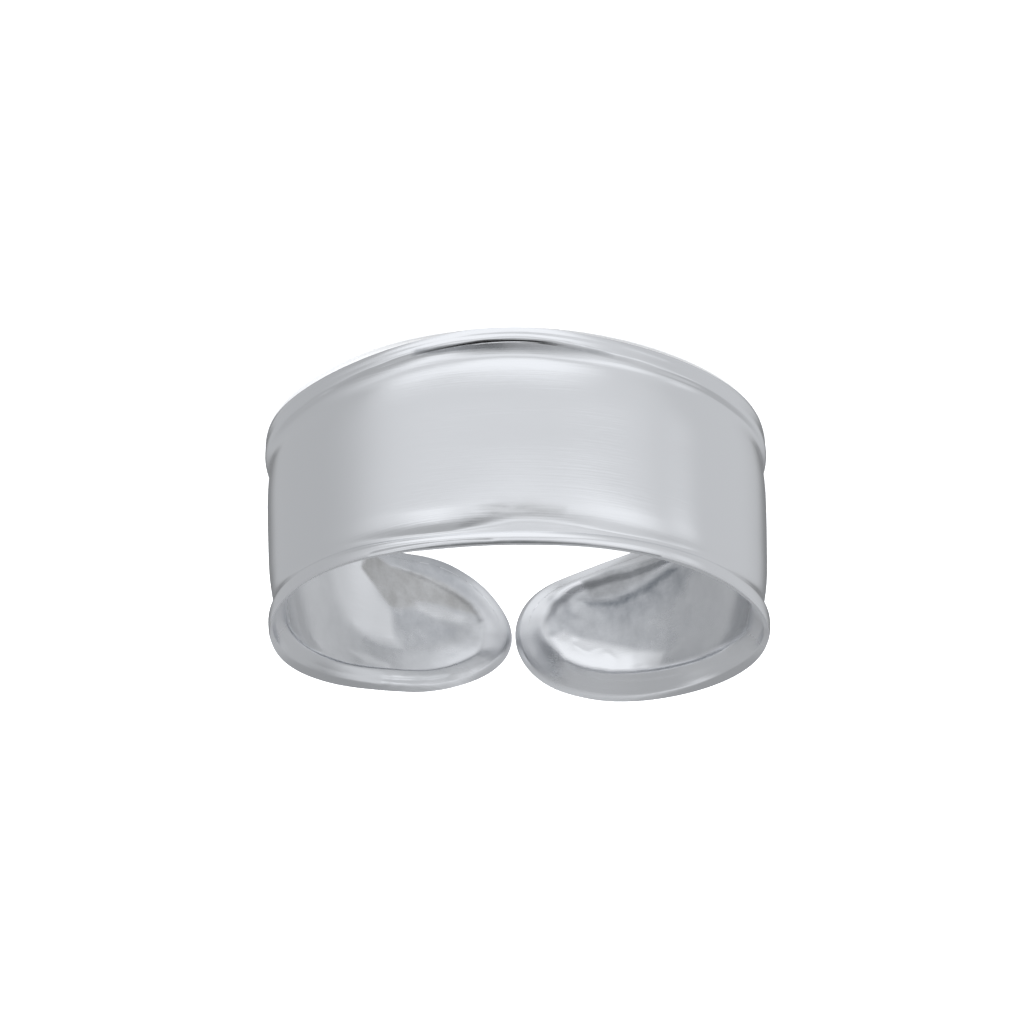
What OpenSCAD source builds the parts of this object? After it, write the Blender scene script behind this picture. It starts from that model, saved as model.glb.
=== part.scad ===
// Open toe ring, pressed and bent from one piece of thin sheet. The band is widest at the crown
// and tapers to two rounded ends that nearly meet. A flared border runs round the whole edge,
// with a groove inside it and a gently domed body between the grooves.
// It lies on its side as it would by itself, with the crown towards -Y and the slimmer end on +X.

/* [Band] */
// Inner diameter, between the inner ridges that a toe passes through
inner_d = 15.42; // [13:0.02:21]
// Width of the band at the crown
crown_w = 7.82; // [6.6:0.02:9]
// Width of the slimmer end, where its tip starts to round off
slim_end_w = 5.12; // [4:0.02:6]
// Width of the fuller end, where its tip starts to round off
full_end_w = 5.52; // [4:0.02:6]
// Length of the rounding at each tip, along the band
tip_l = 3.35; // [2.8:0.05:4.5]

/* [Sheet] */
// Thickness of the sheet
sheet_t = 0.42; // [0.3:0.02:0.7]
// Width of the border, from the edge to the bottom of the groove
border_w = 1.05; // [0.8:0.05:1.2]
// Depth of the groove below the border
groove_d = 0.21; // [0.1:0.01:0.3]
// Depth that the mandrel flattens into the inner ridges
land_d = 0.03; // [0.02:0.01:0.05]

/* [Bend] */
// Gap between the two tips
end_gap = 0.1; // [0.1:0.1:4]
// Turn of the gap from the point opposite the crown, towards the slimmer end, in degrees
gap_turn = 0.86; // [0:0.02:4]
// How far the slimmer end is bent down, along the ring's axis
slim_drop = 0.44; // [0:0.02:0.6]
// How far the fuller end is bent down, along the ring's axis
full_drop = 0.2; // [0:0.02:0.6]
// Lean of the wall to one side, so that its top lies towards -X, in degrees
lean = 1.1; // [0:0.1:3]

/* [Hidden] */

// Sections along the band, at shares of the half turn from the crown to the point opposite it.
// The taper is how far the band has narrowed from the crown's width to the end's width.
// The drop is a share of the end's own drop. Each has a column for the slim and the full end.
// The first row mirrors the third, so that the edge runs level over the crown.
BAND = [
    // turn, slim taper, full taper, slim drop, full drop
    [-0.11, 0.05, 0.08, 0, 0],
    [0, 0, 0, 0, 0],
    [0.11, 0.05, 0.08, 0, 0],
    [0.25, 0.26, 0.18, 0, 0],
    [0.39, 0.33, 0.23, 0, 0],
    [0.5, 0.35, 0.35, 0, 0],
    [0.61, 0.46, 0.52, 0.04, 0.04],
    [0.72, 0.73, 0.73, 0.1, 0.16],
    [0.83, 1, 1, 0.45, 0.24],
    [0.92, 1.1, 1.28, 0.88, 0.44],
    [1, 1.26, 1.14, 0.34, 1],
];
taper_columns = [1, 2];
drop_columns = [3, 4];

// Section across the band: distance from the edge in border widths, depth in groove depths
SECTION = [
    // distance, depth
    [0, 0.04],
    [0.2, 0],
    [0.4, 0.08],
    [0.6, 0.4],
    [0.8, 0.84],
    [1, 1],
    [1.2, 0.86],
    [1.5, 0.54],
    [1.8, 0.32],
    [2.2, 0.22],
    [4, 0.2],
];
depth_column = 1;

// Mesh lines across the section, from the middle outwards: over the body, in shares of the way
// from the groove to the middle, and over the border, in border widths
body_lines = [1, 0.72, 0.46, 0.22, 0.07];
border_lines = [1, 0.9, 0.8, 0.66, 0.52, 0.38];
// Mesh steps round the body and round the lip in degrees, and the steps round each tip
body_step = 4.5;
lip_step = 45;
tip_steps = 10;
// Small step for working out slopes
nudge = 0.01;

// Radius of the sheet's middle under the border, built up from the ridges
rim_r = inner_d / 2 - land_d + sheet_t / 2 + groove_d;
half_turn = 180;
mm_per_degree = rim_r * PI / half_turn;
tip_angle = tip_l / mm_per_degree;

// Smooth curve through a column of a table, whose slope at a row is that between its neighbours
function slope(table, column, i) =
    let (before = table[max(i - 1, 0)], after = table[min(i + 1, len(table) - 1)])
    (after[column] - before[column]) / (after[0] - before[0]);
function row_before(table, x, i = 0) =
    i >= len(table) - 2 || x < table[i + 1][0] ? i : row_before(table, x, i + 1);
function curve(table, column, x) =
    let (
        i = row_before(table, x),
        width = table[i + 1][0] - table[i][0],
        u = (x - table[i][0]) / width,
        v = 1 - u
    )
    v * v * (1 + 2 * u) * table[i][column] + u * u * (1 + 2 * v) * table[i + 1][column]
    + u * v * width * (v * slope(table, column, i) - u * slope(table, column, i + 1));

// The two sides of the ring, by the sign of X, and the choice of a value for a side
slim = 1;
full = -1;
function pick(side, values) = side == slim ? values[0] : values[1];

// Angle of a side's tip from the crown, and its half width and drop at an angle
function tip_place(side) = half_turn - side * gap_turn - end_gap / mm_per_degree / 2;
function half_width(side, angle) =
    let (
        taper = curve(BAND, pick(side, taper_columns), angle / half_turn),
        width = crown_w + (pick(side, [slim_end_w, full_end_w]) - crown_w) * taper,
        past = max(angle - tip_place(side) + tip_angle, 0) / tip_angle
    )
    width / 2 * sqrt(max(1 - past * past, 0));
function drop(side, angle) =
    pick(side, [slim_drop, full_drop]) * curve(BAND, pick(side, drop_columns), angle / half_turn);

// Angle where the line square to the edge meets the middle of the band
function middle_angle(side, angle) =
    let (
        a = min(max(angle, nudge), tip_place(side) - nudge),
        wide = half_width(side, a - nudge),
        narrow = half_width(side, a + nudge)
    )
    angle + (narrow * narrow - wide * wide) / (4 * nudge * mm_per_degree * mm_per_degree);

// Depth below the border at a distance from the edge. It levels out towards the middle of the
// band, whose distance is the reach.
function depth(distance, reach) =
    let (past = max(distance - border_w, 0) / max(reach - border_w, nudge))
    groove_d * curve(SECTION, depth_column, (distance - (reach - border_w) * past * past / 2) / border_w);

// Half of the section as distances from the edge and heights above the rim radius: the outer
// skin (way 1) or the inner skin (way -1) from the middle outwards, and the round lip
function skin(reach, way) = [
    for (d = concat(
        [for (line = body_lines) border_w + (reach - border_w) * line],
        [for (line = border_lines) border_w * line]
    ))
    let (
        fall = d == reach ? 0 : (depth(min(d + nudge, reach), reach) - depth(d - nudge, reach)) / (2 * nudge),
        square = [fall, 1] / norm([fall, 1])
    )
    [d, -depth(d, reach)] + way * square * sheet_t / 2
];
function lip() = [
    for (turn = [90 : lip_step : 270])
    [sheet_t / 2, -depth(sheet_t / 2, crown_w / 2)] + sheet_t / 2 * [cos(turn), sin(turn)]
];
function half_section(reach) =
    let (inner = skin(reach, -1))
    concat(skin(reach, 1), lip(), [for (i = [len(inner) - 1 : -1 : 0]) inner[i]]);

// Angles of the rows on one side, from the crown to the tip
function row_angles(side) =
    let (body_end = tip_place(side) - tip_angle, rows = ceil(body_end / body_step))
    concat(
        [for (i = [1 : rows]) body_end * i / rows],
        [for (i = [1 : tip_steps]) body_end + tip_angle * sin(90 * i / tip_steps)]
    );

// A point of the flat band, bent round the ring's axis
function bent(side, angle, across, height) =
    let (r = rim_r + height, z = across - drop(side, angle))
    [side * r * sin(angle) - z * tan(lean), -r * cos(angle), z];

// One row of the mesh: up the section's upper half and back by its lower half. The row at a tip
// is folded flat, so that both halves share their points.
function row_points(side, angle) =
    let (
        half = half_width(side, angle),
        middle = middle_angle(side, angle),
        reach = norm([half, (middle - angle) * mm_per_degree]),
        section = half_section(reach),
        last = len(section) - 1,
        folded = angle == tip_place(side)
    )
    [
        for (i = [0 : folded ? last : 2 * last - 1])
        let (
            way = i <= last ? 1 : -1,
            p = section[i <= last ? i : 2 * last - i],
            share = p[0] / reach
        )
        bent(side, angle + (middle - angle) * share, way * half * (1 - share), p[1])
    ];

slim_angles = row_angles(slim);
full_angles = row_angles(full);
rows = concat(
    [for (i = [len(full_angles) - 1 : -1 : 0]) row_points(full, full_angles[i])],
    [row_points(slim, 0)],
    [for (angle = slim_angles) row_points(slim, angle)]
);
last_row = len(rows) - 1;
folded_count = len(rows[0]);
around = len(rows[1]);
points = [for (row = rows) each row];

// Number of a point by its row and its place round the section
function number(row, place) =
    let (
        i = place % around,
        folded = row == 0 || row == last_row,
        start = row == 0 ? 0 : folded_count + (row - 1) * around
    )
    start + (folded && i >= folded_count ? around - i : i);
faces = [
    for (row = [0 : last_row - 1], i = [0 : around - 1])
    each [
        [number(row, i), number(row, i + 1), number(row + 1, i)],
        [number(row, i + 1), number(row + 1, i + 1), number(row + 1, i)],
    ]
];

// At rest the ring leans on the crown's edge and on the edge at its sides, where it is narrower
rest_tilt = min([
    for (side = [slim, full], angle = [60 : 5 : 150])
    atan((half_width(side, 0) - half_width(side, angle) - drop(side, angle)) / rim_r / (1 - cos(angle)))
]);
leaned = [for (p = points) [
    p[0],
    p[1] * cos(rest_tilt) + p[2] * sin(rest_tilt),
    p[2] * cos(rest_tilt) - p[1] * sin(rest_tilt),
]];
function lowest(axis) = min([for (p = leaned) p[axis]]);
function highest(axis) = max([for (p = leaned) p[axis]]);
seat = [-(lowest(0) + highest(0)) / 2, -(lowest(1) + highest(1)) / 2, -lowest(2)];

module ring_band() {
    color([0.8, 0.82, 0.84])
    translate(seat)
    rotate([-rest_tilt, 0, 0])
    difference() {
        polyhedron(points, faces);
        rotate([0, -lean, 0])
        cylinder(h = 2 * crown_w, d = inner_d, center = true, $fn = 180);
    }
}

ring_band();
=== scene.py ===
from math import atan2, cos, hypot, pi, radians, sin, sqrt, tan

import bmesh
import bpy
from mathutils import Matrix, Vector, noise
from mathutils.kdtree import KDTree


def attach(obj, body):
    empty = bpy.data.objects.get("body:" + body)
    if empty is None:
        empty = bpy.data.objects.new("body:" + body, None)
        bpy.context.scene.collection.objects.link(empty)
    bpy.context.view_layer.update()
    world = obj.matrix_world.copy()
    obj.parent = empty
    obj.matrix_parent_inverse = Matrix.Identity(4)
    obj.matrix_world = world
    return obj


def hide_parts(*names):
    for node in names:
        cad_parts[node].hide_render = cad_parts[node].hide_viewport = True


# An open toe ring of pressed silver sheet, made the way a silversmith makes it: a blank is cut,
# its border is pressed in, it gets its thickness, it is bent round a mandrel, and it is laid on
# the table. The ring is modelled in millimetres, and scaled to metres when it is finished.
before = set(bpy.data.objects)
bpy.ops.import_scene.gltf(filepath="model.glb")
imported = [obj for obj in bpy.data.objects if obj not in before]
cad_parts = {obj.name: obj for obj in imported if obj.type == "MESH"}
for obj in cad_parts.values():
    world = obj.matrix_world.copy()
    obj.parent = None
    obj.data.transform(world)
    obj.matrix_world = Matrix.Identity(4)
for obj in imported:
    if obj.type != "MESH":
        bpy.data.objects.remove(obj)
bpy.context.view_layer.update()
mm = 0.001


def hexToLinear(code):
    parts = [int(code[i:i + 2], 16) / 255 for i in (1, 3, 5)]
    return tuple(p / 12.92 if p <= 0.04045 else ((p + 0.055) / 1.055) ** 2.4 for p in parts)


def addNode(tree, kind, settings=None, links=None):
    # settings go to the node or its sockets, links name the socket and what feeds it
    node = tree.nodes.new(kind)
    for key, value in (settings or {}).items():
        if isinstance(key, str) and key not in node.inputs and hasattr(node, key):
            setattr(node, key, value)
        else:
            node.inputs[key].default_value = value
    for key, source in (links or {}).items():
        tree.links.new(source, node.inputs[key])
    return node


def onlySelect(piece):
    bpy.ops.object.select_all(action="DESELECT")
    piece.select_set(True)
    bpy.context.view_layer.objects.active = piece


def applyModifier(piece, kind, **settings):
    onlySelect(piece)
    bpy.ops.object.modifier_add(type=kind)
    modifier = piece.modifiers[-1]
    for key, value in settings.items():
        setattr(modifier, key, value)
    bpy.ops.object.modifier_apply(modifier=modifier.name)


# The ring: its sizes, and the tables that its outline and its pressing follow

ring = {
    "innerD": 15.42,          # between the inner ridges
    "crownWidth": 7.82,
    "slimEndWidth": 5.12,     # where the tip starts to round off
    "fullEndWidth": 5.52,
    "tipLength": 3.35,
    "sheet": 0.42,
    "borderWidth": 1.05,      # from the edge to the bottom of the groove
    "grooveDepth": 0.21,
    "land": 0.03,             # what the mandrel flattens off the inner ridges
    "gap": 0.1,               # between the tips
    "gapTurn": 0.86,          # degrees towards the slimmer end
    "slimDrop": 0.44,         # how far each end is bent down
    "fullDrop": 0.2,
    "lean": 1.1,              # degrees that the wall leans sideways
    "tilt": 2.762,            # degrees that the ring leans at rest
    "seat": (0.0018, 0.0749, 3.5156),   # where its centre is then
    "bodyRows": 86,           # mesh rows on each side, from the crown to where the tip starts
    "tipRows": 20,
    # mesh lines round the border, by their distance from the edge
    "borderLines": (0.07, 0.12, 0.16, 0.2, 0.25, 0.3, 0.34, 0.38, 0.42, 0.47, 0.53, 0.6, 0.69, 0.79, 0.9,
                    1.02, 1.16, 1.3, 1.44),
    "bodyColumns": 12,
    "shoulders": ((0.12, 0.34), (0.1, 0.2)),    # where the lower and upper border's face runs
    "endPress": 0.2,          # the border is narrower round the ends by this share
    "endLevel": 0.15,         # and its groove shallower
    "slimTipFlat": 0.13,      # how much flatter the slim tip's inner flange is left
    # degrees from the crown between which one pressing gives way to the next
    "crownTurns": (40, 75),
    "endTurns": (100, 130),
    "flangeTurns": (85, 115),
    "slimTipTurns": (166, 174),
    # heights in mm between which the lower edge's pressing gives way to the upper edge's
    "outerSides": (-0.8, 0.8),
    "innerSides": (-0.6, 0.6),
    "ridgeSides": (0.3, 1.1),
    "filmAndShadeSides": (-0.3, 0.9),
    # mm from the edge: where the upper groove starts and stops being drawn towards it, the inner
    # flange, what the file takes off, and where the film and painted shade over the bowls begin
    "drawnFrom": (0.2, 0.6),
    "drawnUntil": (1.2, 2.6),
    "flange": (0, 0.8),
    "filed": (0.1, 0.8),
    "filmAndShadeFrom": (0.75, 1.05),
    "edgeRound": 0.05,        # the burr is rubbed off with this radius
}
# turn as a share of the half turn, then the taper and the drop of the slim and the full end
bandRows = [
    (-0.11, 0.05, 0.08, 0, 0),
    (0, 0, 0, 0, 0),
    (0.11, 0.05, 0.08, 0, 0),
    (0.25, 0.26, 0.18, 0, 0),
    (0.39, 0.33, 0.23, 0, 0),
    (0.5, 0.35, 0.35, 0, 0),
    (0.61, 0.46, 0.52, 0.04, 0.04),
    (0.72, 0.73, 0.73, 0.1, 0.16),
    (0.83, 1, 1, 0.45, 0.24),
    (0.92, 1.1, 1.28, 0.88, 0.44),
    (1, 1.26, 1.14, 0.34, 1),
]
# distance from the edge, then how deep the sheet is pressed: at the crown towards the lower and
# the upper edge, then at the sides and ends towards the lower and the upper edge
pressRows = [
    (0, 0.05, 0.02, 0.05, 0.04),
    (0.07, 0.028, 0.007, 0.03, 0.012),
    (0.13, 0.015, 0.002, 0.022, 0.004),
    (0.18, 0.018, 0, 0.02, 0),
    (0.22, 0.019, 0.005, 0.016, 0.003),
    (0.25, 0.013, 0.022, 0.012, 0.008),
    (0.3, 0.005, 0.058, 0.005, 0.024),
    (0.34, 0, 0.082, 0, 0.04),
    (0.37, 0.02, 0.094, 0.007, 0.052),
    (0.4, 0.044, 0.102, 0.02, 0.065),
    (0.46, 0.059, 0.108, 0.046, 0.09),
    (0.52, 0.073, 0.11, 0.07, 0.113),
    (0.6, 0.09, 0.112, 0.098, 0.14),
    (0.68, 0.105, 0.115, 0.123, 0.165),
    (0.8, 0.124, 0.118, 0.15, 0.19),
    (0.9, 0.136, 0.124, 0.16, 0.203),
    (1.0, 0.138, 0.121, 0.16, 0.203),
    (1.15, 0.122, 0.109, 0.148, 0.185),
    (1.4, 0.084, 0.079, 0.1, 0.13),
    (1.65, 0.05, 0.056, 0.066, 0.085),
    (2.0, 0.035, 0.036, 0.05, 0.058),
    (2.3, 0.028, 0.019, 0.046, 0.05),
    (2.6, 0.024, 0.006, 0.044, 0.044),
    (4, 0.024, 0.006, 0.042, 0.042),
]
# the inner skin of the ends, whose flange runs straight to a crisp ridge: distance, then depth on
# the slim end towards the lower and the upper edge, and on the full end likewise
innerRows = [
    (0, 0.05, 0, 0.03, 0),
    (0.08, 0.1, 0.04, 0.085, 0.04),
    (0.2, 0.17, 0.11, 0.165, 0.11),
    (0.35, 0.235, 0.18, 0.262, 0.18),
    (0.45, 0.272, 0.228, 0.318, 0.228),
    (0.52, 0.29, 0.26, 0.348, 0.26),
    (0.58, 0.298, 0.285, 0.368, 0.285),
    (0.65, 0.3, 0.315, 0.379, 0.315),
    (0.7, 0.3, 0.336, 0.37, 0.336),
    (0.79, 0.298, 0.369, 0.292, 0.369),
    (0.86, 0.296, 0.385, 0.282, 0.386),
    (0.92, 0.294, 0.376, 0.279, 0.376),
    (1.0, 0.291, 0.352, 0.278, 0.352),
    (1.15, 0.285, 0.322, 0.275, 0.318),
    (1.3, 0.279, 0.3, 0.27, 0.29),
    (1.44, 0.273, 0.284, 0.257, 0.268),
    (1.6, 0.264, 0.268, 0.238, 0.248),
    (1.85, 0.252, 0.248, 0.222, 0.226),
    (2.1, 0.244, 0.235, 0.212, 0.21),
    (2.5, 0.24, 0.23, 0.205, 0.202),
    (4, 0.24, 0.23, 0.2, 0.2),
]
# turn, then how many mm nearer the edge that ridge runs on the lower and the upper side
ridgeRows = [
    (-180, -0.28, -0.28),
    (-173, -0.22, -0.25),
    (-166, 0, 0),
    (-158, -0.1, 0),
    (-148, -0.25, 0),
    (-130, -0.3, 0),
    (-90, -0.1, 0),
    (90, 0, 0.1),
    (115, 0, 0.22),
    (130, 0, 0.34),
    (145, 0, 0.39),
    (165, 0, 0.39),
    (173, 0, 0.28),
    (180, 0, 0),
]
# turn in degrees from the crown, then where the border's shoulder lies on the lower and upper
# edge, how far the lower border's face slopes down, how deep the lower groove is, and how much
# nearer to its edge the upper groove lies
shoulderRows = [
    (-180, 0.5, 0.36, 0, 1, 1),
    (-120, 0.5, 0.34, 0, 1, 1),
    (-80, 0.53, 0.32, 0.015, 0.85, 1),
    (-60, 0.57, 0.3, 0.03, 0.75, 1.3),
    (-40, 0.53, 0.26, 0.06, 0.7, 1.65),
    (-24, 0.48, 0.22, 0.04, 0.7, 1.7),
    (-10, 0.36, 0.2, 0.005, 0.95, 1.28),
    (0, 0.325, 0.2, 0.005, 1, 1.15),
    (8, 0.34, 0.2, 0.02, 0.95, 1.45),
    (16, 0.32, 0.22, 0.04, 0.75, 1.82),
    (24, 0.34, 0.24, 0.02, 0.75, 1.88),
    (40, 0.4, 0.28, 0, 0.9, 1.7),
    (80, 0.5, 0.32, 0, 1, 1),
    (120, 0.5, 0.34, 0, 1, 1),
    (180, 0.5, 0.36, 0, 1, 1),
]
# turn, then how much is filed off the lower edge, by what share the upper half is narrower, and
# how thick the edge is left
trimRows = [
    (-180, 0, 0.03, 0.16),
    (-100, 0, 0.03, 0.18),
    (-75, 0.03, 0.02, 0.24),
    (-60, 0.08, 0.006, 0.3),
    (-45, 0.1, 0, 0.32),
    (-30, 0.11, 0, 0.32),
    (-20, 0.1, 0, 0.32),
    (-10, 0.08, 0, 0.32),
    (0, 0.06, 0, 0.32),
    (8, 0.07, 0, 0.32),
    (16, 0.12, 0, 0.32),
    (24, 0.15, 0, 0.31),
    (45, 0.13, 0, 0.28),
    (60, 0.12, 0.006, 0.22),
    (75, 0.05, 0.02, 0.18),
    (100, 0, 0.03, 0.15),
    (180, 0, 0.03, 0.16),
]
rimRadius = ring["innerD"] / 2 - ring["land"] + ring["sheet"] / 2 + ring["grooveDepth"]
mmPerDegree = rimRadius * pi / 180
tipAngle = ring["tipLength"] / mmPerDegree


def curveThrough(rows, column, x):
    # a smooth curve whose slope at a row is that between its neighbours
    def slope(i):
        before, after = rows[max(i - 1, 0)], rows[min(i + 1, len(rows) - 1)]
        return (after[column] - before[column]) / (after[0] - before[0])
    i = 0
    while i < len(rows) - 2 and x >= rows[i + 1][0]:
        i += 1
    width = rows[i + 1][0] - rows[i][0]
    u = (x - rows[i][0]) / width
    v = 1 - u
    return (v * v * (1 + 2 * u) * rows[i][column] + u * u * (1 + 2 * v) * rows[i + 1][column]
            + u * v * width * (v * slope(i) - u * slope(i + 1)))


def tipOf(side):
    return 180 - side * ring["gapTurn"] - ring["gap"] / mmPerDegree / 2


def halfWidth(side, angle):
    taper = curveThrough(bandRows, 1 if side > 0 else 2, angle / 180)
    end = ring["slimEndWidth"] if side > 0 else ring["fullEndWidth"]
    past = max(angle - tipOf(side) + tipAngle, 0) / tipAngle
    return (ring["crownWidth"] + (end - ring["crownWidth"]) * taper) / 2 * sqrt(max(1 - past * past, 0))


def dropOf(side, angle):
    drop = ring["slimDrop"] if side > 0 else ring["fullDrop"]
    return drop * curveThrough(bandRows, 3 if side > 0 else 4, angle / 180)


def reachOf(side, angle):
    # distance from the edge to the middle of the band, measured square to the edge
    nudge = 0.01
    a = min(max(angle, nudge), tipOf(side) - nudge)
    wide, narrow = halfWidth(side, a - nudge), halfWidth(side, a + nudge)
    shift = (narrow * narrow - wide * wide) / (4 * nudge * mmPerDegree)
    return hypot(halfWidth(side, angle), shift)


def smoothStep(low, high, x):
    t = min(max((x - low) / (high - low), 0), 1)
    return t * t * (3 - 2 * t)


def levelOf(distance, reach):
    # the press levels out towards the middle of the band
    border = ring["borderWidth"]
    past = min(max(distance - border, 0) / max(reach - border, 0.01), 1)
    return max(distance - (reach - border) * past * past / 2, 0)


def nearer(level, turn):
    # the groove is drawn towards the edge, but the shoulder and the middle stay where they are
    pull = curveThrough(shoulderRows, 5, turn) - 1
    drawn = smoothStep(*ring["drawnFrom"], level) * (1 - smoothStep(*ring["drawnUntil"], level))
    return level * (1 + pull * drawn)


def pressDepth(distance, reach, turn, height):
    # how deep the sheet lies below the border
    border, away = ring["borderWidth"], abs(turn)
    atEnd = smoothStep(*ring["endTurns"], away)
    narrower = 1 + ring["endPress"] * atEnd
    level = levelOf(distance * narrower, reach * narrower)
    beside = smoothStep(*ring["crownTurns"], away)
    upper = smoothStep(*ring["outerSides"], height)
    depth = 0
    for share, side in ((1 - upper, 0), (upper, 1)):
        if share > 0:
            shoulder = curveThrough(shoulderRows, 1 + side, turn)
            start, usual = ring["shoulders"][side]     # the press's own, which moves in or out
            at = level if side == 0 else nearer(level, turn)
            if start < at < shoulder:
                at = start + (at - start) * (usual - start) / (shoulder - start)
            elif shoulder <= at < border:
                at = usual + (at - shoulder) * (border - usual) / (border - shoulder)
            crown = curveThrough(pressRows, 1 + side, at) if beside < 1 else 0
            flank = curveThrough(pressRows, 3 + side, at) if beside > 0 else 0
            here = crown * (1 - beside) + flank * beside
            if side == 0:
                deeper = curveThrough(shoulderRows, 4, turn) - 1
                here *= 1 + deeper * smoothStep(usual, border, at)
                here += curveThrough(shoulderRows, 3, turn) * (1 - min(at / usual, 1))
            depth += share * here
    return depth * (1 - ring["endLevel"] * atEnd)


def ridgeShift(x, height):
    # how much nearer to the edge the inner ridge runs here
    turn = x / mmPerDegree
    upper = smoothStep(*ring["ridgeSides"], height)
    return curveThrough(ridgeRows, 1, turn) * (1 - upper) + curveThrough(ridgeRows, 2, turn) * upper


def bentHeight(x, z):
    # the upper half is a little narrower at the ends, and the ends are bent down
    turn = x / mmPerDegree
    return z - max(z, 0) * curveThrough(trimRows, 2, turn) - dropOf(1 if x > 0 else -1, abs(turn))


def outlinePlaces():
    # side, angle and signed half width, once round the blank from the slimmer tip
    along = []
    for side in (1, -1):
        bodyEnd = tipOf(side) - tipAngle
        rows, tips = ring["bodyRows"], ring["tipRows"]
        one = [(side, bodyEnd * i / rows) for i in range(1, rows + 1)]
        one += [(side, bodyEnd + tipAngle * sin(pi / 2 * i / tips)) for i in range(1, tips + 1)]
        along.append(one)
    along = along[0][::-1] + [(1, 0)] + along[1]
    upper = [(side, angle, halfWidth(side, angle)) for side, angle in along]
    lower = [(side, angle, curveThrough(trimRows, 1, side * angle) - width)
             for side, angle, width in upper[-2:0:-1]]
    return upper + lower


class CutEdge:
    # the blank's outline, and how far a point of the sheet lies from it
    def __init__(self, places):
        self.points = [Vector((side * angle * mmPerDegree, 0, width)) for side, angle, width in places]
        self.tree = KDTree(len(self.points))
        for i, p in enumerate(self.points):
            self.tree.insert(p, i)
        self.tree.balance()
        self.reaches = [reachOf(side, angle) for side, angle, width in places]

    def measure(self, x, z):
        p = Vector((x, 0, z))
        near, i, distance = self.tree.find(p)
        for j in (i - 1, (i + 1) % len(self.points)):
            along = self.points[j] - near
            t = min(max((p - near).dot(along) / along.length_squared, 0), 1)
            distance = min(distance, (p - near - along * t).length)
        return distance, self.reaches[i]


def cutBlank(edge):
    # a round blank is trimmed to the band's outline, and lines are marked parallel to its edge
    count = len(edge.points)
    bpy.ops.object.select_all(action="DESELECT")
    bpy.ops.mesh.primitive_circle_add(vertices=count, radius=1, fill_type="NGON", rotation=(pi / 2, 0, 0))
    blank = bpy.context.object
    blank.name = blank.data.name = "toeRing"
    bpy.ops.object.transform_apply(location=True, rotation=True, scale=True)
    for v in blank.data.vertices:
        v.co = edge.points[round(atan2(v.co.z, v.co.x) / (2 * pi) * count) % count]
    bpy.ops.object.mode_set(mode="EDIT")
    bpy.ops.mesh.select_all(action="SELECT")
    marked = 0
    for line in ring["borderLines"]:
        bpy.ops.mesh.inset(thickness=line - marked, depth=0)
        marked = line
    # the middle is filled with a grid that runs from tip to tip
    bpy.ops.mesh.delete(type="ONLY_FACE")
    bpy.ops.mesh.select_all(action="DESELECT")
    work = bmesh.from_edit_mesh(blank.data)
    inner = [e for e in work.edges if e.is_boundary
             and edge.measure(e.verts[0].co.x, e.verts[0].co.z)[0] > marked / 2]
    inner.sort(key=lambda e: e.verts[0].co.x + e.verts[1].co.x)
    for e in inner[:ring["bodyColumns"]] + inner[-ring["bodyColumns"]:]:
        e.select_set(True)
    bmesh.update_edit_mesh(blank.data)
    bpy.ops.mesh.fill_grid()
    bpy.ops.object.mode_set(mode="OBJECT")
    print("blank cut:", len(blank.data.polygons), "faces")
    return blank


# marks of the hammer, the punch and the fingers, on the outer (1) or the inner (-1) skin: half
# width and height in mm, below zero for a crease, then where it runs as turn and height
handMarks = [
    (-1, 0.07, 0.014, ((146, 2.05), (150.3, 1.93), (158, 1.72), (163, 1.52))),
    (-1, 0.05, 0.01, ((147, 2.2), (153, 2.08), (157, 1.97))),
    (-1, 0.06, 0.012, ((165, 1.5), (169, 1.25), (171.5, 1.05))),
    (-1, 0.09, 0.02, ((149, -2.1), (158, -1.88), (165, -1.5), (169.5, -1.08), (171.5, -0.6))),
    (-1, 0.07, 0.02, ((170.5, -0.9), (172, -0.4), (171.5, 0.3), (170, 0.8))),
    (-1, 0.06, -0.014, ((140, 0.93), (145, 1.02), (150.5, 0.95))),
    (-1, 0.05, -0.012, ((143, 1.1), (151, 1.12))),
    (-1, 0.08, -0.016, ((136, 0.6), (142, 0.86), (149, 0.72))),
    (-1, 0.09, -0.02, ((119, 1.95), (122, 1.88))),
    (-1, 0.2, 0.014, ((154, -0.8), (160, -0.62), (167, -0.3))),
    (-1, 0.3, -0.02, ((152, 0.0), (158, 0.15), (163, 0.3))),
    (-1, 0.16, 0.02, ((-171, -1.2), (-172.5, -0.7), (-172, -0.2))),
    (-1, 0.12, -0.016, ((-168, -1.0), (-168.5, -0.4), (-166, 0.1))),
    (-1, 0.14, 0.016, ((-169.5, -0.7), (-168, -0.1))),
    (-1, 0.07, -0.016, ((-165, -1.15), (-157, -0.93), (-150, -1.05), (-143, -1.45))),
    (-1, 0.16, 0.014, ((-166, -0.75), (-160, -0.35))),
    (-1, 0.06, -0.01, ((-168, 1.2), (-160, 1.75), (-148, 2.1), (-136, 2.3))),
    (-1, 0.05, -0.01, ((-166, 0.45), (-163, 0.75), (-160, 0.6))),
    (-1, 0.06, -0.012, ((-158, 0.85), (-156, 1.2), (-157, 1.5))),
    (1, 0.035, -0.011, ((10.5, 2.58), (6, 2.62), (0.5, 2.57))),
    (1, 0.035, -0.007, ((4, 2.7), (-3, 2.66))),
    (1, 0.05, -0.012, ((6, 3.81), (14, 3.76), (24, 3.7), (36, 3.62))),
    (1, 0.05, 0.008, ((-25, -3.62), (-31, -3.55), (-37, -3.5))),
]
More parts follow.
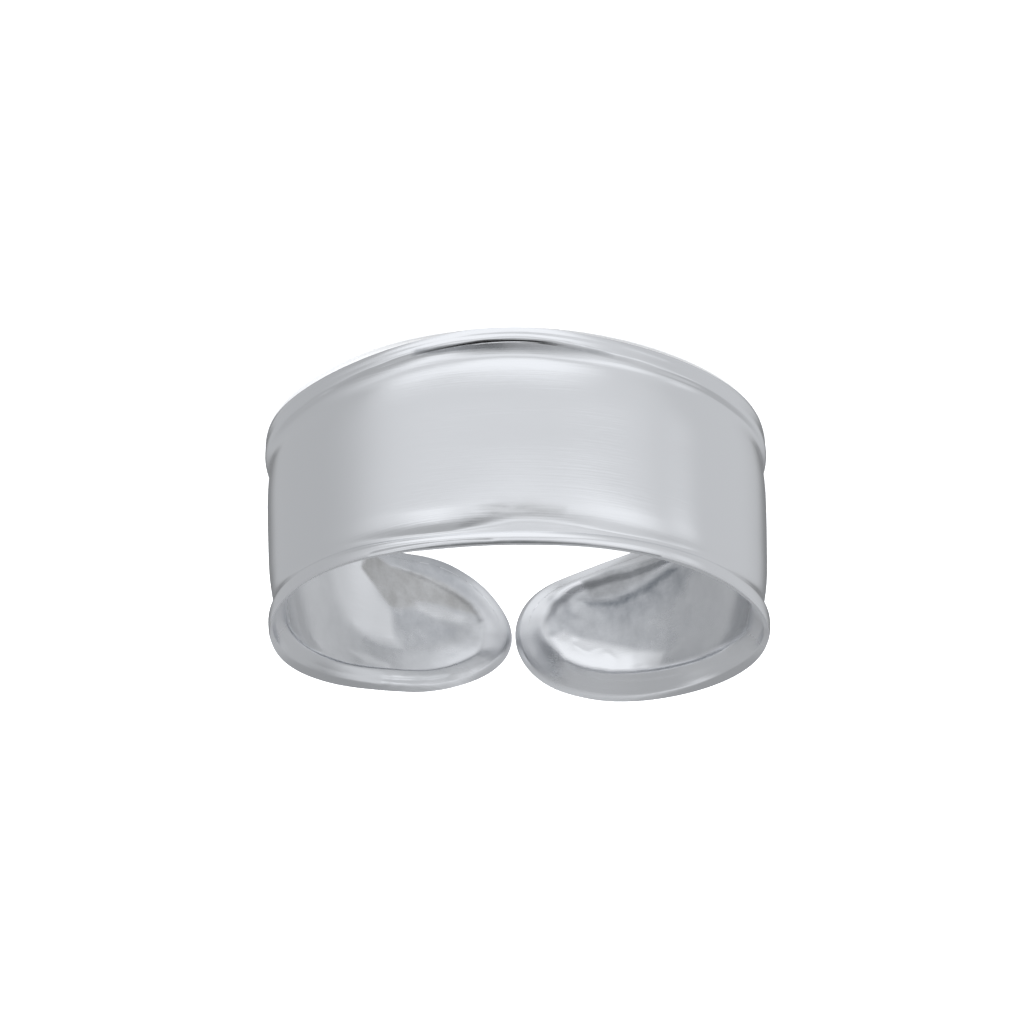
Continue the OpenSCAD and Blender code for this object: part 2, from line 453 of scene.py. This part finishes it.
# skin, wave length and height of the ripples, how soft the area's edge is, then its corners
ripples = [
    (-1, 0.45, 0.012, 0.25, ((-174, -1.4), (-164, -1.5), (-163, 0), (-150, 0.9), (-146, 1.9), (-160, 1.8),
                             (-172, 0.9))),
    (-1, 0.6, 0.01, 0.3, ((178, -1.2), (172, -1.6), (168, -0.9), (168, 0.7), (160, 1.3), (150, 1.6),
                          (150, 2.6), (170, 1.8), (178, 0.6))),
    (-1, 0.5, 0.008, 0.25, ((143, -2.3), (146, -1.9), (158, -1.7), (168, -1.3), (174, -1.2), (164, -2.5))),
    (-1, 0.5, 0.008, 0.25, ((-178, -0.6), (-172, -1.6), (-168, -0.8), (-170, 0.9), (-158, 1.9), (-164, 2.5),
                            (-178, 1))),
    (-1, 0.3, 0.012, 0.1, ((145, 2.0), (150, 1.8), (163.5, 1.4), (170, 1.0), (173, 0.8), (173, 1.2),
                           (166, 1.7), (152, 2.15), (146, 2.3))),
    (1, 0.35, 0.004, 0.15, ((-24, -3.75), (-38, -3.7), (-38, -3.3), (-24, -3.35))),
    (1, 0.4, 0.003, 0.15, ((24, -3.6), (4, -3.65), (-8, -3.65), (-8, -3.2), (4, -3.2), (24, -3.15))),
]
# patches of haze and tarnish, partly painted shade: skin, haze and tarnish from 0 to 1, how soft the area's
# edge is, then its corners
stainsAndShade = [
    # inside the ends: painted shade, and places where the film and its painted shade are cleared
    (-1, 0.0, 0.0, 0.4, ((128, -1.2), (133, -2.4), (141, -2.2), (145, -0.9), (150, -0.3), (150, 0.85),
                         (141, 0.8), (134, 0.5), (130, -0.2))),
    (-1, 0.05, 0.5, 0.09, ((139, -1.62), (141, -2.4), (148, -2.0), (156, -1.95), (163, -1.7), (168.5, -1.2),
                           (171, -0.7), (165, -0.88), (160, -0.98), (156, -0.85), (151, -0.5), (147.5, -0.55),
                           (144, -1.05))),
    (-1, 0.42, 0.04, 0.2, ((148.3, -0.45), (153, -0.62), (156, -0.5), (160, -0.3), (166, -0.2), (165, 0.05),
                            (160, 0.5), (154, 0.72), (149.5, 0.6), (148.6, 0.1))),
    (-1, 0.16, 0.1, 0.12, ((154.5, -0.92), (160, -0.9), (168, -0.62), (166.5, -0.36), (160, -0.44),
                           (156, -0.62))),
    (-1, 0.24, 0.04, 0.25, ((151, 1.0), (157, 0.8), (163, 0.55), (169, 0.2), (171, 0.9), (163, 1.65),
                            (152, 1.85), (149, 1.5))),
    (-1, 0.4, 0.1, 0.06, ((140, 0.9), (145, 1.0), (151, 0.93), (151, 1.08), (143, 1.14), (139, 1.05))),
    (-1, 0.1, 0.05, 0.12, ((134, 1.6), (140, 1.5), (147, 1.65), (147, 1.85), (140, 1.85))),
    (-1, 0.5, 0.28, 0.1, ((-164, -1.85), (-157, -2.1), (-141, -2.15), (-141, -1.85), (-149, -1.5),
                          (-156, -1.15), (-162, -1.2))),
    (-1, 0.56, 0.04, 0.5, ((-162, -0.95), (-154, -1.0), (-148, -1.25), (-138, -1.7), (-130, -1.5),
                           (-136, -0.6), (-146, -0.15), (-155, -0.25), (-161, -0.4))),
    (-1, 0.86, 0.06, 0.09, ((-164, -1.1), (-156, -0.98), (-148, -1.27), (-140, -1.62), (-137, -1.5),
                            (-147, -1.02), (-155, -0.76), (-162, -0.9))),
    (-1, 0.36, 0.02, 0.22, ((-172, -1.3), (-165, -1.4), (-163.5, -0.8), (-165.5, 0.1), (-171, 0.3),
                            (-173, -0.4))),
    (-1, 0.5, 0.02, 0.12, ((-169, -0.9), (-167.5, -1.1), (-166.5, -0.6), (-168, -0.3), (-169.3, -0.5))),
    (-1, 0.0, 0.0, 0.14, ((-172.5, 0.15), (-169, -0.1), (-165, 0.2), (-159, 0.5), (-149, 1.05), (-142, 1.35),
                          (-143, 1.85), (-153, 1.8), (-161, 1.5), (-169, 0.9))),
    # on the outer skin: greyer along the lower rim, a painted shade band on the crown's upper half, and a
    # painted dark reflection along the upper rim
    (1, 0.5, 0.05, 0.06, ((24, -3.4), (17, -3.37), (8, -3.33), (3, -3.32), (3, -3.17), (8, -3.17),
                          (17, -3.15), (24, -3.2))),
    (1, 0.32, 0.08, 0.08, ((3, -3.32), (-10, -3.32), (-21, -3.28), (-23, -3.14), (-10, -3.1), (3, -3.14))),
    (1, 0, 0.16, 0.15, ((9, 2.62), (4, 2.42), (-4, 2.42), (-11, 2.55), (-10, 2.85), (-2, 2.95), (6, 2.85))),
    (1, 0.8, 0.4, 0.03, ((40, 3.73), (24, 3.8), (8, 3.86), (-8, 3.86), (-24, 3.81), (-34, 3.76), (-34, 4.1),
                        (40, 4.1))),
    (-1, 0.04, 0.14, 0.5, ((-106, 0.8), (-88, 2.2), (-88, 3.6), (-106, 3.0), (-116, 2.4), (-116, 1.4))),
]
# the film over the bowls, its grey partly painted shade: turn, haze, tarnish, how satin the inner
# skin is, then the haze on the flange's lower and upper side
filmAndShadeRows = [
    (-180, 0.38, 0.08, 0.45, 0.1, 0.1),
    (-150, 0.36, 0.08, 0.15, 0, 0),
    (-120, 0.14, 0.05, 0.1, 0, 0),
    (-105, 0.03, 0.02, 0.2, 0, 0),
    (-80, 0, 0, 1, 0, 0),
    (0, 0, 0, 1, 0, 0),
    (80, 0, 0, 1, 0, 0),
    (105, 0.1, 0.06, 0.2, 0, 0),
    (125, 0.1, 0.1, 0.1, 0, 0.05),
    (145, 0.36, 0.12, 0.1, 0.3, 0.06),
    (160, 0.34, 0.12, 0.15, 0.48, 0.05),
    (168, 0.32, 0.12, 0.3, 0.4, 0.04),
    (172, 0.3, 0.12, 0.6, 0.14, 0),
    (180, 0.3, 0.12, 0.8, 0.04, 0),
]


def nearestTo(points, x, height):
    # how far a place on the sheet is from a line of points, whose turns are in degrees
    best = 1000
    for (turn0, z0), (turn1, z1) in zip(points, points[1:]):
        x0, x1 = turn0 * mmPerDegree, turn1 * mmPerDegree
        along, rise = x1 - x0, z1 - z0
        t = min(max(((x - x0) * along + (height - z0) * rise) / (along * along + rise * rise), 0), 1)
        best = min(best, hypot(x - x0 - along * t, height - z0 - rise * t))
    return best


def shareInside(corners, soft, x, height):
    # 1 well inside an area, 0 well outside it
    turn = x / mmPerDegree
    reach = soft / mmPerDegree
    if not (min(c[0] for c in corners) - reach < turn < max(c[0] for c in corners) + reach
            and min(c[1] for c in corners) - soft < height < max(c[1] for c in corners) + soft):
        return 0
    inside = False
    for (turn0, z0), (turn1, z1) in zip(corners, corners[1:] + corners[:1]):
        if (z0 > height) != (z1 > height) and turn < turn0 + (turn1 - turn0) * (height - z0) / (z1 - z0):
            inside = not inside
    away = nearestTo(corners + corners[:1], x, height)
    return smoothStep(-soft, soft, away if inside else -away)


def markByHand(blank, edge):
    # dents, creases and ripples move the sheet; haze and tarnish, partly painted shade, are kept for the
    # silver to read
    hazeAndPaintedShade, tarnishAndPaintedShade, satin = [], [], []
    normals = [v.normal.y for v in blank.data.vertices]     # read before anything moves
    for v, normal in zip(blank.data.vertices, normals):
        skin = 1 if normal < 0 else -1
        flat = smoothStep(0.3, 0.7, abs(normal))            # nothing is struck on the cut edge itself
        x, height = v.co.x, bentHeight(v.co.x, v.co.z)
        turn = x / mmPerDegree
        move = dullAndShaded = dark = soft = 0
        if skin < 0:
            filmAndShade = smoothStep(*ring["filmAndShadeFrom"], edge.measure(x, v.co.z)[0] + ridgeShift(x, v.co.z))
            upper = smoothStep(*ring["filmAndShadeSides"], height)
            flange = curveThrough(filmAndShadeRows, 4, turn) * (1 - upper) + curveThrough(filmAndShadeRows, 5, turn) * upper
            # over the bowls the film's grey is partly painted shade
            dullAndShaded = filmAndShade * curveThrough(filmAndShadeRows, 1, turn) + (1 - filmAndShade) * flange
            dark = filmAndShade * curveThrough(filmAndShadeRows, 2, turn)
            soft = curveThrough(filmAndShadeRows, 3, turn)
        for side, half, rise, points in handMarks:
            turns = [p[0] for p in points]
            if side == skin and min(turns) - 4 < turn < max(turns) + 4:
                away = nearestTo(points, x, height) / half
                move += rise * (1 - smoothStep(0, 2, away))
        for side, wave, rise, fade, corners in ripples:
            share = shareInside(corners, fade, x, height) if side == skin else 0
            if share > 0:
                move += share * rise * noise.noise(Vector((x, height, side)) / wave)
        # the patches set painted shade as well as film
        for side, hazeAndShadeHere, tarnishAndShadeHere, fade, corners in stainsAndShade:
            share = shareInside(corners, fade, x, height) if side == skin else 0
            dullAndShaded += (hazeAndShadeHere - dullAndShaded) * share
            dark += (tarnishAndShadeHere - dark) * share
        v.co.y -= skin * move * flat
        hazeAndPaintedShade.append(dullAndShaded)
        tarnishAndPaintedShade.append(dark)
        satin.append(soft)
    for name, values in (("hazeAndPaintedShade", hazeAndPaintedShade), ("tarnishAndPaintedShade", tarnishAndPaintedShade), ("satin", satin)):
        attribute = blank.data.attributes.new(name, "FLOAT", "POINT")
        attribute.data.foreach_set("value", values)
    # the sheet's own map, in millimetres along and across the band
    flatMap = blank.data.uv_layers.new(name="sheet")
    for loop in blank.data.loops:
        place = blank.data.vertices[loop.vertex_index].co
        flatMap.data[loop.index].uv = place.x, place.z
    print("marked by hand:", len(hazeAndPaintedShade), "points")


def innerDepth(level, x, height):
    # how deep the inner skin of the ends lies
    column = 1 if x > 0 else 3
    upper = smoothStep(*ring["innerSides"], height)
    across = smoothStep(*ring["flange"], level)
    at = level + ridgeShift(x, height) * across
    flatter = ring["slimTipFlat"] * smoothStep(*ring["slimTipTurns"], x / mmPerDegree) * (1 - across)
    return (curveThrough(innerRows, column, at) * (1 - upper)
            + curveThrough(innerRows, column + 1, at) * upper + flatter)


def pressBlank(blank, edge):
    # the outer skin is pressed, the sheet gets its thickness, and the inner skin follows the tables
    for v in blank.data.vertices:
        distance, reach = edge.measure(v.co.x, v.co.z)
        v.co.y = pressDepth(distance, reach, v.co.x / mmPerDegree, v.co.z)
    onlySelect(blank)
    bpy.ops.object.mode_set(mode="EDIT")
    bpy.ops.mesh.select_all(action="SELECT")
    bpy.ops.mesh.normals_make_consistent(inside=False)
    bpy.ops.object.mode_set(mode="OBJECT")
    outerCount = len(blank.data.vertices)
    applyModifier(blank, "SOLIDIFY", thickness=ring["sheet"], offset=0, use_even_offset=True)
    for v in blank.data.vertices[outerCount:]:
        distance, reach = edge.measure(v.co.x, v.co.z)
        turn = v.co.x / mmPerDegree
        atEnd = smoothStep(*ring["flangeTurns"], abs(turn))
        thinner = ring["sheet"] - curveThrough(trimRows, 3, turn)
        filed = v.co.y - thinner * (1 - smoothStep(*ring["filed"], distance))
        v.co.y = filed * (1 - atEnd) + innerDepth(levelOf(distance, reach), v.co.x, v.co.z) * atEnd
    applyModifier(blank, "BEVEL", width=ring["edgeRound"], segments=2, limit_method="ANGLE",
                  angle_limit=radians(60))
    applyModifier(blank, "SUBSURF", levels=1, render_levels=1)
    print("blank pressed:", len(blank.data.polygons), "faces")


def bendBlank(blank):
    # the ends are bent down a little, then the band is bent round the mandrel
    for v in blank.data.vertices:
        v.co.z = bentHeight(v.co.x, v.co.z)
    turn = radians(tipOf(1) + tipOf(-1))
    applyModifier(blank, "SIMPLE_DEFORM", deform_method="BEND", deform_axis="Z", angle=turn)
    mandrel = ring["innerD"] / 2
    for v in blank.data.vertices:
        v.co.y -= rimRadius
        flat = hypot(v.co.x, v.co.y)
        if flat < mandrel:
            v.co.x, v.co.y = v.co.x * mandrel / flat, v.co.y * mandrel / flat
    print("blank bent:", [round(x, 3) for x in blank.dimensions])


def layDown(blank):
    # its wall leans a little, and it tips until it rests on the crown's edge and its sides
    lean = Matrix.Identity(4)
    lean[0][2] = -tan(radians(ring["lean"]))
    tilt = Matrix.Rotation(radians(-ring["tilt"]), 4, "X")
    place = Matrix.Translation(ring["seat"])
    blank.data.transform(Matrix.Scale(mm, 4) @ place @ tilt @ lean)
    onlySelect(blank)
    bpy.ops.object.shade_smooth()
    bpy.ops.object.transform_apply(location=True, rotation=True, scale=True)


edge = CutEdge(outlinePlaces())
toeRing = cutBlank(edge)
pressBlank(toeRing, edge)
markByHand(toeRing, edge)
bendBlank(toeRing)
layDown(toeRing)
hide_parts("ring_band")
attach(toeRing, "root")
print("ring laid down:", [round(x / mm, 3) for x in toeRing.dimensions], "mm")


# Sterling silver, pressed from bright rolled sheet and tumbled: a soft mirror with fine marks

silverSettings = {
    "bright": "#F0F1F3",
    "hazeAndPaintedShade": "#8B9097",         # cool grey film where the tumbling did not reach, and painted shade
    "tarnishAndPaintedShade": "#8F8D88",      # warm grey film of old sulphide, and painted shade
    "roughness": 0.11,
    "dullRoughness": 0.24,     # what a full film adds
    "lineRoughness": 0.05,     # what the rolling lines add
    "satinRoughness": 0.34,    # and what the mandrel leaves on the inner skin
    "filmPatch": 0.8,          # mm between thin places in the film and its painted shade
    "thinning": (0.72, 1.28),  # its share there, at the thinnest and the thickest
    "lineWidth": 0.06,         # mm between the rolling lines along the band
    "lineLength": 2.5,
    "lineDepth": 0.0016,       # mm
    "pebble": 0.28,            # mm between the dints that the tumbling shot leaves
    "pebbleDepth": 0.0016,
}


def sterlingSilver():
    # bright sheet under a soft film and painted shade: the mirror stays clear on the crown and goes grey
    # inside the ends, partly as painted shade
    material = bpy.data.materials.new("tumbledSilverAndPaintedShade")
    material.use_nodes = True
    tree = material.node_tree
    tree.nodes.clear()
    sheet = addNode(tree, "ShaderNodeUVMap", {"uv_map": "sheet"})
    place = addNode(tree, "ShaderNodeTexCoord")
    hazeAndPaintedShade = addNode(tree, "ShaderNodeAttribute", {"attribute_name": "hazeAndPaintedShade"})
    tarnishAndPaintedShade = addNode(tree, "ShaderNodeAttribute", {"attribute_name": "tarnishAndPaintedShade"})
    satin = addNode(tree, "ShaderNodeAttribute", {"attribute_name": "satin"})
    patches = addNode(tree, "ShaderNodeTexNoise", {
        "Scale": 1 / (silverSettings["filmPatch"] * mm), "Detail": 6.0, "Roughness": 0.7},
        {"Vector": place.outputs["Object"]})
    thinnest, thickest = silverSettings["thinning"]
    thin = addNode(tree, "ShaderNodeMapRange", {
        "From Min": 0.3, "From Max": 0.7, "To Min": thinnest, "To Max": thickest},
        {"Value": patches.outputs["Fac"]})
    hazeAndShadeHere = addNode(tree, "ShaderNodeMath", {"operation": "MULTIPLY", "use_clamp": True},
                       {0: hazeAndPaintedShade.outputs["Fac"], 1: thin.outputs["Result"]})
    tarnishAndShadeHere = addNode(tree, "ShaderNodeMath", {"operation": "MULTIPLY", "use_clamp": True},
                          {0: tarnishAndPaintedShade.outputs["Fac"], 1: thin.outputs["Result"]})
    # haze and tarnish grey the colour: a real film, and painted shade inside the ends and in bands on the
    # crown
    cool = addNode(tree, "ShaderNodeMix", {
        "data_type": "RGBA", 6: (*hexToLinear(silverSettings["bright"]), 1),
        7: (*hexToLinear(silverSettings["hazeAndPaintedShade"]), 1)}, {0: hazeAndShadeHere.outputs[0]})
    colour = addNode(tree, "ShaderNodeMix", {
        "data_type": "RGBA", 7: (*hexToLinear(silverSettings["tarnishAndPaintedShade"]), 1)},
        {0: tarnishAndShadeHere.outputs[0], 6: cool.outputs[2]})
    filmAndShade = addNode(tree, "ShaderNodeMath", {"operation": "ADD", "use_clamp": True},
                   {0: hazeAndShadeHere.outputs[0], 1: tarnishAndShadeHere.outputs[0]})
    lines = addNode(tree, "ShaderNodeMapping", {
        "Scale": (1 / silverSettings["lineLength"], 1 / silverSettings["lineWidth"], 1)},
        {"Vector": sheet.outputs["UV"]})
    rolled = addNode(tree, "ShaderNodeTexNoise", {"Scale": 1.0, "Detail": 3.0},
                     {"Vector": lines.outputs["Vector"]})
    dints = addNode(tree, "ShaderNodeTexNoise", {"Scale": 1 / (silverSettings["pebble"] * mm), "Detail": 2.0},
                    {"Vector": place.outputs["Object"]})
    rough = addNode(tree, "ShaderNodeMath", {
        "operation": "MULTIPLY_ADD", 1: silverSettings["dullRoughness"], 2: silverSettings["roughness"]},
        {0: filmAndShade.outputs[0]})
    roughInside = addNode(tree, "ShaderNodeMath", {
        "operation": "MULTIPLY_ADD", 1: silverSettings["satinRoughness"]},
        {0: satin.outputs["Fac"], 2: rough.outputs[0]})
    roughHere = addNode(tree, "ShaderNodeMath", {
        "operation": "MULTIPLY_ADD", 1: silverSettings["lineRoughness"]},
        {0: rolled.outputs["Fac"], 2: roughInside.outputs[0]})
    rolling = addNode(tree, "ShaderNodeBump", {"Strength": 1.0, "Distance": silverSettings["lineDepth"] * mm},
                      {"Height": rolled.outputs["Fac"]})
    tumbling = addNode(tree, "ShaderNodeBump", {
        "Strength": 1.0, "Distance": silverSettings["pebbleDepth"] * mm},
        {"Height": dints.outputs["Fac"], "Normal": rolling.outputs["Normal"]})
    surface = addNode(tree, "ShaderNodeBsdfPrincipled", {"Metallic": 1.0}, {
        "Base Color": colour.outputs[2], "Roughness": roughHere.outputs[0],
        "Normal": tumbling.outputs["Normal"]})
    addNode(tree, "ShaderNodeOutputMaterial", {}, {"Surface": surface.outputs["BSDF"]})
    print("silver made:", material.name)
    return material


toeRing.data.materials.clear()
toeRing.data.materials.append(sterlingSilver())

# The table: pale, matt and plain

table = {
    "size": 3.0,
    "colour": "#F4F5F6",
    "roughness": 0.9,
    "glow": 0.45,       # the board is lit a little from below
}
bpy.ops.object.select_all(action="DESELECT")
bpy.ops.mesh.primitive_plane_add(size=table["size"], location=(0, 0, 0))
floor = bpy.context.object
floor.name = "tableTop"
paper = bpy.data.materials.new("paleBoard")
paper.use_nodes = True
paperSurface = paper.node_tree.nodes["Principled BSDF"]
paperSurface.inputs["Base Color"].default_value = (*hexToLinear(table["colour"]), 1)
paperSurface.inputs["Roughness"].default_value = table["roughness"]
paperSurface.inputs["Emission Color"].default_value = (*hexToLinear(table["colour"]), 1)
paperSurface.inputs["Emission Strength"].default_value = table["glow"]
floor.data.materials.append(paper)
floor.visible_glossy = False      # the ring mirrors the tent all round, as one hung in it does
print("table set:", floor.name)

# The studio: a pale tent round the ring, brighter in front, with soft boxes and a dark gap where
# the camera looks in. Directions are in degrees, to the right of the camera and above the table.

studioSettings = {
    "sides": 0.46,      # brightness behind and beside the ring
    "front": 0.31,      # and how much brighter it gets in front
    "tint": "#FAFCFF",
}
# centre, half size, softness, brightness; each lies in front of those above it
softBoxes = [
    ((112, -45), (32, 45), (22, 14), 0.62),     # paler board to the right
    ((-120, -60), (60, 26), (6, 7), 0.49),      # greyer board to the left
    ((-140, -20), (60, 16), (25, 6), 0.5),      # and its front edge
    ((180, -26), (24, 14), (10, 6), 0.26),      # darkness behind the ring, on both sides of 180
    ((-180, -26), (24, 14), (10, 6), 0.26),
    ((0, 60), (200, 50), (20, 14), 0.6),        # the upper tent
    ((-110, 30), (60, 26), (25, 12), 0.44),     # grey wall to the left
    ((0, -27), (60, 5), (25, 4), 0.72),         # the board in front
    ((0, -15), (62, 4), (25, 5), 0.9),          # its pale far edge
    ((-38, -12), (11, 4), (12, 4), 1.05),       # and two cards on it
    ((42, -16), (17, 5), (14, 4), 1.0),
    ((-15, -66), (50, 30), (20, 7), 1.06),      # lamp under the board in front
    ((-16, -42), (46, 12), (20, 6), 1.06),
    ((-118, -74), (32, 13), (8, 5), 0.86),      # and its end to the left
    ((86, -38), (8, 6), (5, 5), 0.62),          # a dimmer place to the right
    ((0, 74), (75, 30), (20, 10), 1.0),         # lamp high behind the camera
    ((180, 34), (68, 24), (10, 6), 0.36),       # the grey back of the tent, on both sides of 180
    ((-180, 34), (68, 24), (10, 6), 0.36),
    ((100, 34), (7, 22), (8, 8), 0.72),         # and three lamps in front of it
    ((-104, 34), (8, 22), (8, 8), 0.74),
    ((88, 40), (4, 6), (4, 4), 1.08),
    ((80, -19), (8, 5), (7, 6), 0.8),           # narrow strip to the right
    ((110, 3), (45, 9), (16, 6), 0.48),         # the tent's dim seam, to the right
    ((-60, 3), (80, 9), (16, 5), 0.46),         # and to the left
    ((-12, 31), (26, 17), (7, 5), 0.015),       # the dark gap
    ((-13, 7), (9, 6), (6, 7), 0.03),           # and its lower end
]


def studioTent():
    world = bpy.data.worlds.new("paleTent")
    bpy.context.scene.world = world
    world.use_nodes = True
    tree = world.node_tree
    tree.nodes.clear()
    towards = addNode(tree, "ShaderNodeTexCoord")
    parts = addNode(tree, "ShaderNodeSeparateXYZ", {}, {"Vector": towards.outputs["Generated"]})
    left = addNode(tree, "ShaderNodeMath", {"operation": "MULTIPLY", 1: -1.0}, {0: parts.outputs["X"]})
    near = addNode(tree, "ShaderNodeMath", {"operation": "MULTIPLY", 1: -1.0}, {0: parts.outputs["Y"]})
    around = addNode(tree, "ShaderNodeMath", {"operation": "ARCTAN2"},
                     {0: left.outputs[0], 1: near.outputs[0]})
    bearing = addNode(tree, "ShaderNodeMath", {"operation": "DEGREES"}, {0: around.outputs[0]})
    above = addNode(tree, "ShaderNodeMath", {"operation": "ARCSINE"}, {0: parts.outputs["Z"]})
    height = addNode(tree, "ShaderNodeMath", {"operation": "DEGREES"}, {0: above.outputs[0]})
    # brightest in front, fading evenly towards the back
    ahead = addNode(tree, "ShaderNodeMath", {"operation": "COSINE"}, {0: around.outputs[0]})
    share = addNode(tree, "ShaderNodeMath", {"operation": "MULTIPLY_ADD", 1: 0.5, 2: 0.5},
                    {0: ahead.outputs[0]})
    light = addNode(tree, "ShaderNodeMath", {
        "operation": "MULTIPLY_ADD", 1: studioSettings["front"], 2: studioSettings["sides"]},
        {0: share.outputs[0]}).outputs[0]
    for centre, half, soft, brightness in softBoxes:
        shares = []
        for angle, middle, reach, blur in zip((bearing, height), centre, half, soft):
            off = addNode(tree, "ShaderNodeMath", {"operation": "SUBTRACT", 1: middle}, {0: angle.outputs[0]})
            away = addNode(tree, "ShaderNodeMath", {"operation": "ABSOLUTE"}, {0: off.outputs[0]})
            within = addNode(tree, "ShaderNodeMapRange", {
                "interpolation_type": "SMOOTHSTEP",
                "From Min": reach + blur, "From Max": max(reach - blur, 0)},
                {"Value": away.outputs[0]})
            shares.append(within.outputs["Result"])
        inside = addNode(tree, "ShaderNodeMath", {"operation": "MULTIPLY"}, {0: shares[0], 1: shares[1]})
        light = addNode(tree, "ShaderNodeMix", {"data_type": "FLOAT", 3: brightness},
                        {0: inside.outputs[0], 2: light}).outputs[0]
    background = addNode(tree, "ShaderNodeBackground", {"Color": (*hexToLinear(studioSettings["tint"]), 1)},
                         {"Strength": light})
    addNode(tree, "ShaderNodeOutputWorld", {}, {"Surface": background.outputs[0]})


studioTent()
overhead = {"size": 1.2, "power": 16, "place": (0, -0.15, 0.9)}     # it lights the table alone
lamp = bpy.data.lights.new("overheadLamp", "AREA")
lamp.shape = "DISK"
lamp.size = overhead["size"]
lamp.energy = overhead["power"]
lampObject = bpy.data.objects.new("overheadLamp", lamp)
lampObject.location = overhead["place"]
lampObject.visible_glossy = False
bpy.context.scene.collection.objects.link(lampObject)
print("studio lit:", len(softBoxes), "boards, lamps and gaps")

# The camera looks at the ring as the photo does: from the crown's side, above the table, with
# its top towards the table, because the photo shows the ring's upper edge below

camera = {
    "elevation": 24.5 + ring["tilt"],   # degrees above the table
    "distance": 1.3,                    # metres, so that lines stay nearly parallel
    "fieldWidth": 33.99,                # mm across the picture at the ring's centre
    "aim": (0.1806, -0.4006, -0.7774),  # mm from the ring's centre to the middle of the picture
    "sensor": 36,
    "clip": (0.1, 20),
}
eye = bpy.data.cameras.new("photoCamera")
eye.sensor_width = camera["sensor"]
eye.lens = eye.sensor_width * camera["distance"] / (camera["fieldWidth"] * mm)
eye.clip_start, eye.clip_end = camera["clip"]
eyeObject = bpy.data.objects.new("photoCamera", eye)
bpy.context.scene.collection.objects.link(eyeObject)
rise = radians(camera["elevation"])
backward = Vector((0, -cos(rise), sin(rise)))
up = Vector((0, -sin(rise), -cos(rise)))
right = up.cross(backward)
aim = (Vector(ring["seat"]) + Vector(camera["aim"])) * mm
turn = Matrix((right, up, backward)).transposed().to_4x4()
eyeObject.matrix_world = Matrix.Translation(aim + backward * camera["distance"]) @ turn
bpy.context.scene.camera = eyeObject
bpy.context.scene.view_settings.view_transform = "Standard"
print("camera placed:", camera["elevation"], "degrees above the table")
